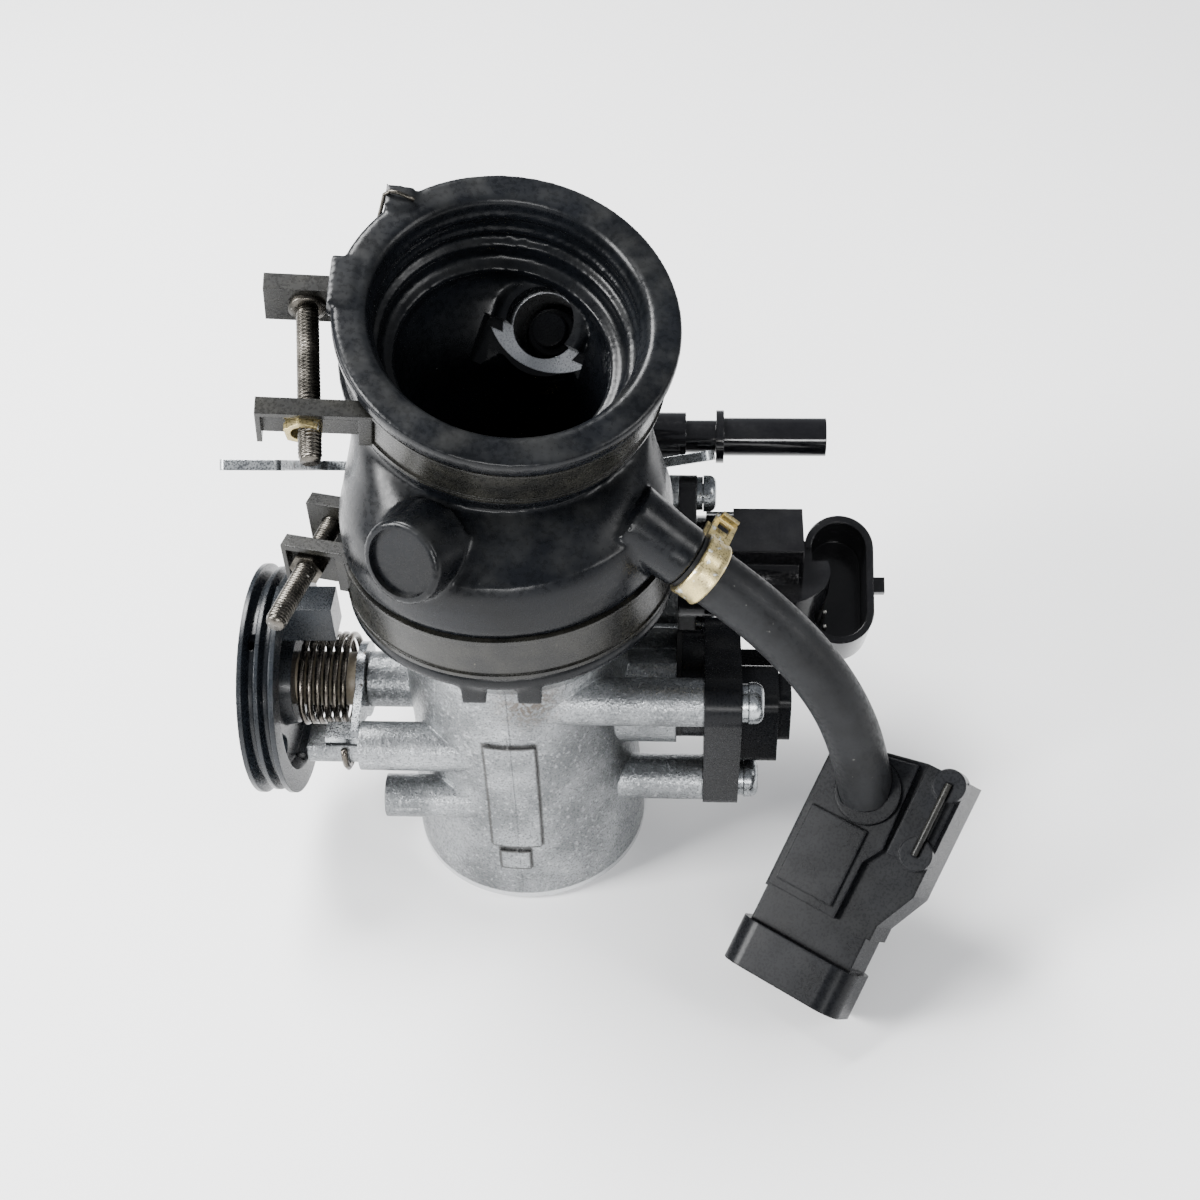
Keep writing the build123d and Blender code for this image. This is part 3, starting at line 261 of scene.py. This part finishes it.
GREY_DUST = (0.16, 0.16, 0.15)
looks = {
    "cast_aluminium": casting(),
    "turned_aluminium": finish("turned_aluminium", (0.55, 0.56, 0.57), (0.34, 0.35, 0.36), (0.25, 0.42),
                               0.95, grain=0.3, depth=0.01).material,
    "brass_plate": finish("brass_plate", (0.52, 0.42, 0.22), (0.28, 0.21, 0.11), (0.25, 0.5), 0.9,
                          speck=((0.10, 0.07, 0.04), 0.12)).material,
    "bright_steel": finish("bright_steel", (0.17, 0.15, 0.13), (0.06, 0.055, 0.045), (0.18, 0.32), 1.0,
                           mottle=3.0, grain=0.2, depth=0.006, edge=0.0).material,
    "zinc_steel": finish("zinc_steel", (0.42, 0.44, 0.45), (0.18, 0.19, 0.20), (0.2, 0.38), 0.95,
                         mottle=3.5, grain=0.35, depth=0.012, speck=((0.10, 0.09, 0.08), 0.08)).material,
    "yellow_zinc_steel": finish("yellow_zinc_steel", (0.70, 0.57, 0.26), (0.44, 0.37, 0.20), (0.25, 0.48),
                                0.9, mottle=2.5, grain=0.3, depth=0.012,
                                speck=((0.72, 0.73, 0.68), 0.12)).material,
    "blackened_steel": finish("blackened_steel", (0.014, 0.0135, 0.011), (0.005, 0.005, 0.0045), (0.25, 0.32),
                              0.0, mottle=5.0, grain=0.6, depth=0.002, speck=((0.08, 0.075, 0.06), -0.03),
                              dust=(GREY_DUST, 0.02), shine=0.35).material,
    "intake_rubber": finish("intake_rubber", (0.0042, 0.0050, 0.0066), (0.0020, 0.0024, 0.0031), (0.24, 0.33),
                            mottle=14.0, grain=1.0, depth=0.006, edge=0.0, speck=((0.05, 0.05, 0.048), -0.04),
                            dust=(GREY_DUST, 0.07), shine=0.2).material,
    "hose_rubber": finish("hose_rubber", (0.0105, 0.0112, 0.0125), (0.0055, 0.0058, 0.0065), (0.40, 0.60),
                          mottle=6.0, grain=0.8, depth=0.012, edge=0.0, speck=((0.06, 0.06, 0.056), 0.01),
                          dust=(GREY_DUST, 0.03), shine=0.2).material,
    "seal_rubber": finish("seal_rubber", (0.012, 0.012, 0.012), (0.006, 0.006, 0.006), (0.4, 0.6),
                          shine=0.2).material,
    "sensor_plastic": finish("sensor_plastic", (0.0048, 0.0053, 0.0066), (0.0024, 0.0027, 0.0034),
                             (0.25, 0.31), mottle=10.0, grain=0.5, depth=0.003, edge=0.5,
                             speck=((0.06, 0.06, 0.055), -0.04), dust=(GREY_DUST, 0.03), shine=0.12).material,
    "drum_plastic": finish("drum_plastic", (0.0105, 0.0135, 0.0175), (0.005, 0.0065, 0.0085), (0.22, 0.38),
                           mottle=8.0, grain=0.3, depth=0.012, edge=0.35, speck=((0.10, 0.10, 0.10), -0.02),
                           dust=(GREY_DUST, 0.03), shine=0.3).material,
    "fuel_plastic": finish("fuel_plastic", (0.006, 0.006, 0.007), (0.003, 0.003, 0.004), (0.08, 0.18),
                           mottle=10.0, grain=0.8, depth=0.008, edge=0.3, coat=0.25,
                           dust=(GREY_DUST, 0.02), shine=0.3).material,
    "bush_polymer": finish("bush_polymer", (0.34, 0.30, 0.22), (0.24, 0.20, 0.15), (0.35, 0.5)).material,
    "contact_metal": finish("contact_metal", (0.80, 0.78, 0.70), (0.55, 0.53, 0.46), (0.18, 0.35), 1.0,
                            grain=0.2, depth=0.005).material,
    "coil_winding": finish("coil_winding", (0.45, 0.20, 0.09), (0.25, 0.11, 0.05), (0.3, 0.45), 0.6,
                           brush=(8, 1, 1)).material,
    "oiled_screw": finish("oiled_screw", (0.12, 0.11, 0.095), (0.03, 0.028, 0.024), (0.22, 0.38), 0.95,
                          mottle=4.0, grain=0.25, depth=0.006, edge=0.0,
                          speck=((0.55, 0.53, 0.49), 0.05)).material,
    "glossy_socket": finish("glossy_socket", (0.006, 0.006, 0.007), (0.003, 0.003, 0.0035), (0.10, 0.24),
                            mottle=8.0, grain=0.5, depth=0.008, edge=0.5, coat=0.1,
                            dust=(GREY_DUST, 0.03), shine=0.3).material,
}
paper = Shader("floor")
paper.feed(paper.surface.inputs["Base Color"],
           paper.mix(paper.noise(90.0, 2.0), (0.93, 0.93, 0.93), (0.955, 0.955, 0.955)))
paper.feed(paper.surface.inputs["Roughness"], paper.spread(paper.noise(4.0), 0.3, 0.7, 0.85, 0.95))
floor_mesh.materials.append(paper.material)

node_slot = {row["node"]: row["material_slot"] for row in frame["record"]["subparts"]}
OWN_LOOKS = {"idle_valve_housing": "glossy_socket", "lower_clamp_nut": "oiled_screw"}
for node, obj in frame["nodes"].items():
    material = looks[OWN_LOOKS.get(node, node_slot[node])]
    for slot in obj.material_slots:
        slot.material = material


# ---- mesh helpers ----
def add_object(name, data, slot, body, replaces=(), smooth=True, look=None):
    obj = bpy.data.objects.new(name, data)
    bpy.context.scene.collection.objects.link(obj)
    data.materials.append(looks[look or slot])
    if smooth and hasattr(data, "polygons"):
        data.polygons.foreach_set("use_smooth", [True] * len(data.polygons))
    if body:
        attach(obj, body)
    if replaces:
        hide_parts(*replaces)
    return obj


def make_mesh(name, points, faces):
    mesh = bpy.data.meshes.new(name)
    mesh.from_pydata([tuple(p) for p in points], [], faces)
    mesh.update()
    return mesh


def prism(name, place, outline, low, high):
    """Straight prism over a flat outline of (u, v) pairs, all in millimetres."""
    origin, u, v, w = place
    rings = [[origin + (u * a + v * b + w * h) * MM for a, b in outline] for h in (low, high)]
    return make_mesh(name, *skin(rings, close_ends=True))


def spun(place, degrees):
    """The same place turned about its own axis."""
    origin, u, v, w = place
    turn = Matrix.Rotation(math.radians(degrees), 3, w)
    return origin, turn @ u, turn @ v, w


def frame_of(origin, axis, across):
    """Origin and three unit axes, the third along axis, the first near across."""
    w = Vector(axis).normalized()
    u = (Vector(across) - w * w.dot(Vector(across))).normalized()
    return Vector(origin), u, w.cross(u), w


def ring(place, radius, count, height=0.0):
    origin, u, v, w = place
    angles = [2 * math.pi * i / count for i in range(count)]
    return [origin + w * height + (u * math.cos(a) + v * math.sin(a)) * radius for a in angles]


def skin(rings, close_ends=False, wrap=False):
    """Points and faces of a surface through rings of equal count."""
    count = len(rings[0])
    points = [p for one in rings for p in one]
    faces = []
    last = len(rings) if wrap else len(rings) - 1
    for r in range(last):
        a, b = r * count, ((r + 1) % len(rings)) * count
        for i in range(count):
            j = (i + 1) % count
            faces.append((a + i, a + j, b + j, b + i))
    if close_ends:
        faces.append(tuple(reversed(range(count))))
        faces.append(tuple(range(len(points) - count, len(points))))
    return points, faces


def turned(name, place, profile, count=96):
    """Closed solid of revolution through (radius, height) pairs in metres."""
    return make_mesh(name, *skin([ring(place, r, count, h) for r, h in profile], wrap=True))


def thread(name, place, radius, low, high, pitch, depth, count=28):
    """Threaded rod: the surface radius rises and falls along a helix."""
    steps = 6
    total = int((high - low) / pitch * steps)
    origin, u, v, w = place
    rings = []
    for k in range(total + 1):
        height = low + (high - low) * k / total
        edge = min(1.0, min(k, total - k) / (1.5 * steps))
        one = []
        for i in range(count):
            turn = i / count
            phase = (height / pitch - turn) % 1.0
            ridge = 1 - abs(2 * phase - 1)
            r = radius - depth * (1 - ridge) * edge - depth * (1 - edge)
            a = 2 * math.pi * turn
            one.append(origin + w * height + (u * math.cos(a) + v * math.sin(a)) * r)
        rings.append(one)
    return make_mesh(name, *skin(rings, close_ends=True))


def wire(name, points, radius, sides=12):
    """Round wire through points, as a mesh tube with parallel rings."""
    rings = []
    u = None
    for k, p in enumerate(points):
        before = points[max(k - 1, 0)]
        after = points[min(k + 1, len(points) - 1)]
        w = (after - before).normalized()
        u = (u or w.orthogonal())
        u = (u - w * w.dot(u)).normalized()
        rings.append(ring((p, u, w.cross(u), w), radius, sides))
    return make_mesh(name, *skin(rings, close_ends=True))


def join_meshes(name, meshes):
    bm = bmesh.new()
    for mesh in meshes:
        bm.from_mesh(mesh)
    joined = bpy.data.meshes.new(name)
    bm.to_mesh(joined)
    bm.free()
    for mesh in meshes:
        bpy.data.meshes.remove(mesh)
    return joined


def block(name, place, u_span, v_span, w_span):
    origin, u, v, w = place
    points = [origin + u * a + v * b + w * c for c in w_span for b in v_span for a in u_span]
    faces = [(0, 2, 3, 1), (4, 5, 7, 6), (0, 1, 5, 4), (2, 6, 7, 3), (0, 4, 6, 2), (1, 3, 7, 5)]
    return make_mesh(name, points, faces)


# ---- the pressure sensor's hose: a round tube along a curve ----
HOSE_D = 10.5 * MM
hose_points = [mm(33.0, -14.0, 86.4), mm(40.4, -15.9, 81.1), mm(47.4, -17.6, 75.2), mm(53.6, -19.0, 68.6),
               mm(58.9, -20.4, 61.3), mm(62.9, -21.6, 53.2), mm(65.6, -22.6, 44.6), mm(67.5, -23.2, 35.5)]
hose_curve = bpy.data.curves.new("hose", "CURVE")
hose_curve.dimensions = "3D"
hose_curve.resolution_u = 16
hose_curve.bevel_depth = HOSE_D / 2
hose_curve.bevel_resolution = 12
hose_curve.use_fill_caps = True
hose_spline = hose_curve.splines.new("NURBS")
hose_spline.points.add(len(hose_points) - 1)
for point, place in zip(hose_spline.points, hose_points):
    point.co = (*place, 1)
hose_spline.order_u = 3
hose_spline.use_endpoint_u = True
hose = add_object("hose", hose_curve, "hose_rubber", "housing", ["sensor_hose"])

# ---- rubber intake joint ----
LIP = mm(3.0, 2.0, 126.7)
LIP_AXIS = Vector((0.164, -0.346, 0.924)).normalized()
lip_place = frame_of(LIP, LIP_AXIS, (1, 0, 0))
mid_place = frame_of(mm(0.1, 3.0, 101.5), (0.08, -0.17, 0.98), (1, 0, 0))


def level(z):
    return frame_of(mm(0, 0, z), (0, 0, 1), (1, 0, 0))


def on_lip(height):
    origin, u, v, w = lip_place
    return origin + w * height * MM, u, v, w


def smooth_rings(keys, steps):
    """Rings through (place, radius mm) keys, with the radius and centre eased between keys."""
    def pick(k):
        return keys[min(max(k, 0), len(keys) - 1)]

    def cubic(a, b, c, d, t):
        return b + (c - a) * 0.5 * t + (a - b * 2.5 + c * 2 - d * 0.5) * t ** 2 + (
            (b - c) * 1.5 + (d - a) * 0.5) * t ** 3
    out = []
    for k in range(len(keys) - 1):
        a, b, c, d = (pick(k + i) for i in (-1, 0, 1, 2))
        for i in range(steps):
            t = i / steps
            origin = cubic(a[0][0], b[0][0], c[0][0], d[0][0], t)
            axis = b[0][3].lerp(c[0][3], t)
            radius = cubic(a[1], b[1], c[1], d[1], t)
            out.append((frame_of(origin, axis, (1, 0, 0)), radius))
    out.append(keys[-1])
    return out


SKIRT = [(level(69.9), 27.4), (level(69.35), 28.2), (level(69.3), 29.6), (level(69.7), 30.5),
         (level(70.6), 30.8), (level(71.8), 30.7), (level(72.5), 30.3), (level(72.8), 29.6),
         (level(82.0), 29.6), (level(82.4), 30.2)]
BELLY = [(level(83.6), 30.4), (level(88.5), 30.2), (level(93.0), 29.0), (mid_place, 26.7),
         (on_lip(-19.0), 27.4), (on_lip(-14.6), 28.5)]
LIP_OUT = [(on_lip(-13.8), 28.4), (on_lip(-13.6), 27.5), (on_lip(-4.5), 27.5), (on_lip(-4.3), 28.4),
           (on_lip(-3.6), 29.2), (on_lip(-2.4), 29.4), (on_lip(-0.8), 29.4), (on_lip(-0.2), 29.1),
           (on_lip(0.0), 28.5)]
LIP_IN = [(on_lip(0.0), 26.5), (on_lip(0.0), 24.6), (on_lip(-0.3), 23.9), (on_lip(-1.0), 23.4),
          (on_lip(-2.6), 23.0), (on_lip(-3.0), 22.5), (on_lip(-3.8), 22.5), (on_lip(-4.2), 23.0),
          (on_lip(-6.4), 23.0), (on_lip(-6.8), 22.3), (on_lip(-7.6), 22.3), (on_lip(-8.0), 22.9),
          (on_lip(-9.2), 22.9), (on_lip(-9.8), 21.4), (on_lip(-12.4), 21.3), (on_lip(-13.2), 20.4),
          (on_lip(-13.4), 19.0)]
DUCT = [(on_lip(-14.2), 18.8), (on_lip(-18.0), 18.8), (mid_place, 18.8), (level(90.0), 19.0),
        (level(84.6), 19.0)]
NECK = [(level(84.1), 19.3), (level(84.1), 26.05), (level(70.6), 26.05), (level(70.2), 26.6)]
joint_rings = SKIRT + smooth_rings(BELLY, 5) + LIP_OUT + LIP_IN + smooth_rings(DUCT, 4) + NECK
ROUND = 144
body_mesh = make_mesh("joint_body", *skin([ring(place, radius * MM, ROUND) for place, radius in joint_rings],
                                          wrap=True))

stub_dir = (hose_points[1] - hose_points[0]).normalized()
CLIP_SIDE = (0.34, 0.93, 0.14)
stub_place = frame_of(hose_points[0], stub_dir, CLIP_SIDE)
tip_place = frame_of(mm(6.6, 24.0, 109.1), (0.105, 0.70, -0.70), (1, 0, 0.15))
blank_place = frame_of(mm(-12.0, -22.5, 95.5), (-0.42, -0.86, 0.30), (1, 0, 0))


def knob(name, place, profile, count=64):
    """Closed turned boss; the profile runs from axis to axis in millimetres."""
    return make_mesh(name, *skin([ring(place, max(r, 0.01) * MM, count, h * MM) for r, h in profile],
                                 close_ends=True))


pieces = [
    body_mesh,
    knob("stub", stub_place, [(0, -13), (6.6, -13), (6.2, -8), (5.8, -4), (5.7, -0.6), (5.3, 0), (0, 0)]),
    knob("injector_boss", tip_place, [(0, 1.5), (10.4, 1.5), (11.8, 4), (12.4, 8), (12.4, 16.4), (11.9, 17),
                                      (0, 17)]),
    knob("blank_boss", blank_place, [(0, -3), (8.6, -3), (8.0, 1), (7.6, 4), (7.5, 5.9), (7.1, 6.3),
                                     (0, 6.3)]),
    knob("hood", tip_place, [(0, -5.2), (7.6, -5.2), (8.6, -4.4), (9.0, -1.0), (9.4, 1.5), (0, 1.5)]),
    block("rib", lip_place, (-30.2 * MM, -26.0 * MM), (-1.4 * MM, 8.4 * MM), (-4.1 * MM, 0.2 * MM)),
    block("lug", lip_place, (-22.4 * MM, -17.7 * MM), (19.2 * MM, 24.0 * MM), (-4.1 * MM, 0.5 * MM)),
]
for x in (-4.6, 5.3):
    pieces.append(block("tab", level(0), ((x - 2.2) * MM, (x + 2.2) * MM), (-30.1 * MM, -27.3 * MM),
                        (65.8 * MM, 70.2 * MM)))
joint_mesh = join_meshes("rubber_joint", pieces)
rubber = add_object("rubber_joint", joint_mesh, "intake_rubber", "housing", ["intake_joint"])


def apply_modifiers(obj):
    depsgraph = bpy.context.evaluated_depsgraph_get()
    mesh = bpy.data.meshes.new_from_object(obj.evaluated_get(depsgraph))
    obj.modifiers.clear()
    obj.data = mesh


def cut(obj, tools):
    """Boolean subtraction of turned or block meshes."""
    cutters = []
    for mesh in tools:
        cutter = bpy.data.objects.new("cutter", mesh)
        bpy.context.scene.collection.objects.link(cutter)
        cutters.append(cutter)
        modifier = obj.modifiers.new("cut", "BOOLEAN")
        modifier.operation = "DIFFERENCE"
        modifier.solver = "EXACT"
        modifier.object = cutter
    apply_modifiers(obj)
    for cutter in cutters:
        bpy.data.objects.remove(cutter)


VOXEL = 0.5 * MM
remesh = rubber.modifiers.new("weld", "REMESH")
remesh.mode = "VOXEL"
remesh.voxel_size = VOXEL
remesh.use_smooth_shade = True
soften = rubber.modifiers.new("soften", "SMOOTH")
soften.factor = 0.5
soften.iterations = 2
apply_modifiers(rubber)
# the aluminium shelf below the nozzle: a disc cut off along a chord
SHELF_CENTRE, SHELF_R, CHORD_MIDDLE, CHORD_TURN = (3.1, -4.7), 13.7, (-1.5, 3.6), math.radians(29)
outward = (-math.sin(CHORD_TURN), math.cos(CHORD_TURN))
shelf_outline = []
for i in range(96):
    a = 2 * math.pi * i / 96
    u, v = SHELF_CENTRE[0] + SHELF_R * math.cos(a), SHELF_CENTRE[1] + SHELF_R * math.sin(a)
    if (u - CHORD_MIDDLE[0]) * outward[0] + (v - CHORD_MIDDLE[1]) * outward[1] > 0:
        shelf_outline.append((u, v))
chord_place = spun(tip_place, 29)
cut(rubber, [
    knob("holder_seat", tip_place, [(0, 0), (8.0, 0), (8.0, 8), (9.4, 8), (9.4, 20), (0, 20)]),
    prism("shelf_seat", tip_place, shelf_outline, -0.01, 1.6),
    block("hood_front", chord_place, (-10.5 * MM, 9.5 * MM), (2.2 * MM, 11 * MM), (-8 * MM, 0.2 * MM)),
    knob("nozzle_hole", tip_place, [(0, -14), (6.2, -14), (6.2, 0.5), (0, 0.5)]),
    knob("blank_recess", blank_place, [(0, 5.2), (6.2, 5.2), (6.3, 9), (0, 9)]),
])
rubber.data.polygons.foreach_set("use_smooth", [True] * len(rubber.data.polygons))
rubber.data.set_sharp_from_angle(angle=math.radians(38))

# ---- clamp screws with real threads ----
THREAD_R, THREAD_PITCH, THREAD_DEPTH = 2.0 * MM, 0.7 * MM, 0.32 * MM
# round head with a socket: radius and height over its seat, in millimetres
HEAD_PROFILE = [(1.6, 0), (3.2, 0), (3.3, 0.3), (3.3, 2.4), (2.9, 3.0), (2.0, 3.05), (1.9, 1.4), (0.4, 1.3),
                (0.4, 0.8)]
HEAD_SEAT = 1.15            # the head stands this far behind the rear ear
# name, place, distance across, height of the band's middle, screw tip and rear ear, in millimetres
CLAMPS = [("lower", spun(level(0), -12.5), -34.3, 77.35, -30.3, -2.8),
          ("upper", spun(lip_place, 7), -33.3, -9.05, -22.5, 6.0)]
for name, clamp, across, middle, low, rear in CLAMPS:
    origin, u, v, w = clamp
    place = (origin + (u * across + w * middle) * MM, u, -w, v)
    rod = thread(f"{name}_thread", place, THREAD_R, low * MM, (rear + 1.2) * MM, THREAD_PITCH, THREAD_DEPTH)
    profile = [(r * MM, (rear + HEAD_SEAT + h) * MM) for r, h in HEAD_PROFILE]
    head = turned(f"{name}_head", place, profile, 48)
    add_object(f"{name}_screw", join_meshes(f"{name}_screw", [rod, head]), "zinc_steel", "housing",
               [f"{name}_clamp_screw"], look="oiled_screw")

# ---- spring clip on the hose: a band with two windowed ears ----
CLIP_LOW, CLIP_HIGH = 0.8, 5.3
BAND_PROFILE = [(5.27, CLIP_LOW), (5.95, CLIP_LOW), (6.15, 1.1), (6.0, 2.0), (6.0, 4.1), (6.15, 5.0),
                (5.95, CLIP_HIGH), (5.27, CLIP_HIGH)]
# each ear is a frame round a window: reach outwards and height along the hose
EAR_BARS = [((5.6, 7.2), (CLIP_LOW, CLIP_HIGH)), ((9.6, 10.8), (CLIP_LOW, CLIP_HIGH)),
            ((7.2, 9.6), (CLIP_LOW, 1.8)), ((7.2, 9.6), (4.3, CLIP_HIGH))]
EAR_IN, EAR_OUT, FOLD_OUT = 1.3, 2.0, 3.6
FOLD_REACH, FOLD_HEIGHT = (10.1, 10.8), (1.3, 4.8)


def scaled(*numbers):
    return tuple(sorted(n * MM for n in numbers))


clip_parts = [turned("clip_band", stub_place, [(r * MM, h * MM) for r, h in BAND_PROFILE])]
for side in (-1, 1):
    wall = scaled(side * EAR_IN, side * EAR_OUT)
    for reach, height in EAR_BARS:
        clip_parts.append(block("ear", stub_place, scaled(*reach), wall, scaled(*height)))
    fold = scaled(side * EAR_IN, side * FOLD_OUT)
    clip_parts.append(block("fold", stub_place, scaled(*FOLD_REACH), fold, scaled(*FOLD_HEIGHT)))
add_object("clip", join_meshes("clip", clip_parts), "yellow_zinc_steel", "housing", ["hose_clip"],
           smooth=False)

# ---- return spring with its two hooked legs ----
SHAFT = (0.0, 40.4)
COIL_R, WIRE_R = 8.9, 0.65
COIL_FROM, COIL_TO, TURNS = -33.4, -44.0, 6.25
# the fixed leg hooks up in front of the stop boss and runs under it to the coil
FIXED_LEG = [(-18.3, 39.4), (-18.6, 37.4), (-18.5, 35.4), (-17.4, 33.4), (-15.4, 32.2), (-12.0, 31.6),
             (-6.0, 31.5), (-2.0, 31.5)]
spring_line = [mm(COIL_FROM, y, z) for y, z in FIXED_LEG]
STEPS = 28
for k in range(int(TURNS * STEPS) + 1):
    turn = k / STEPS
    angle = -math.pi / 2 + 2 * math.pi * turn
    x = COIL_FROM + (COIL_TO - COIL_FROM) * turn / TURNS
    spring_line.append(mm(x, COIL_R * math.cos(angle), SHAFT[1] + COIL_R * math.sin(angle)))
last = spring_line[-1]
spring_line.append(last + mm(0, 0.4, 2.0))
spring_line.append(last + mm(0.2, 0.2, 5.5))
spring_mesh = wire("spring", spring_line, WIRE_R * MM)
spring = add_object("spring", spring_mesh, "bright_steel", None, ["return_spring"])
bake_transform(spring)

# ---- thin wire hook over the lug of the lip ----
HOOK_POINTS = [(-24.2, 17.6, -5.2), (-23.4, 19.2, -3.6), (-22.9, 20.8, -1.6), (-22.6, 21.8, 0.2),
               (-21.6, 21.9, 1.1), (-20.2, 21.7, 1.2), (-18.8, 21.3, 1.0), (-17.4, 20.9, 0.7)]
HOOK_R = 0.35
origin, u, v, w = lip_place
hook_line = [origin + (u * a + v * b + w * h) * MM for a, b, h in HOOK_POINTS]
add_object("lug_hook", wire("lug_hook", hook_line, HOOK_R * MM), "blackened_steel", "housing",
           look="oiled_screw")
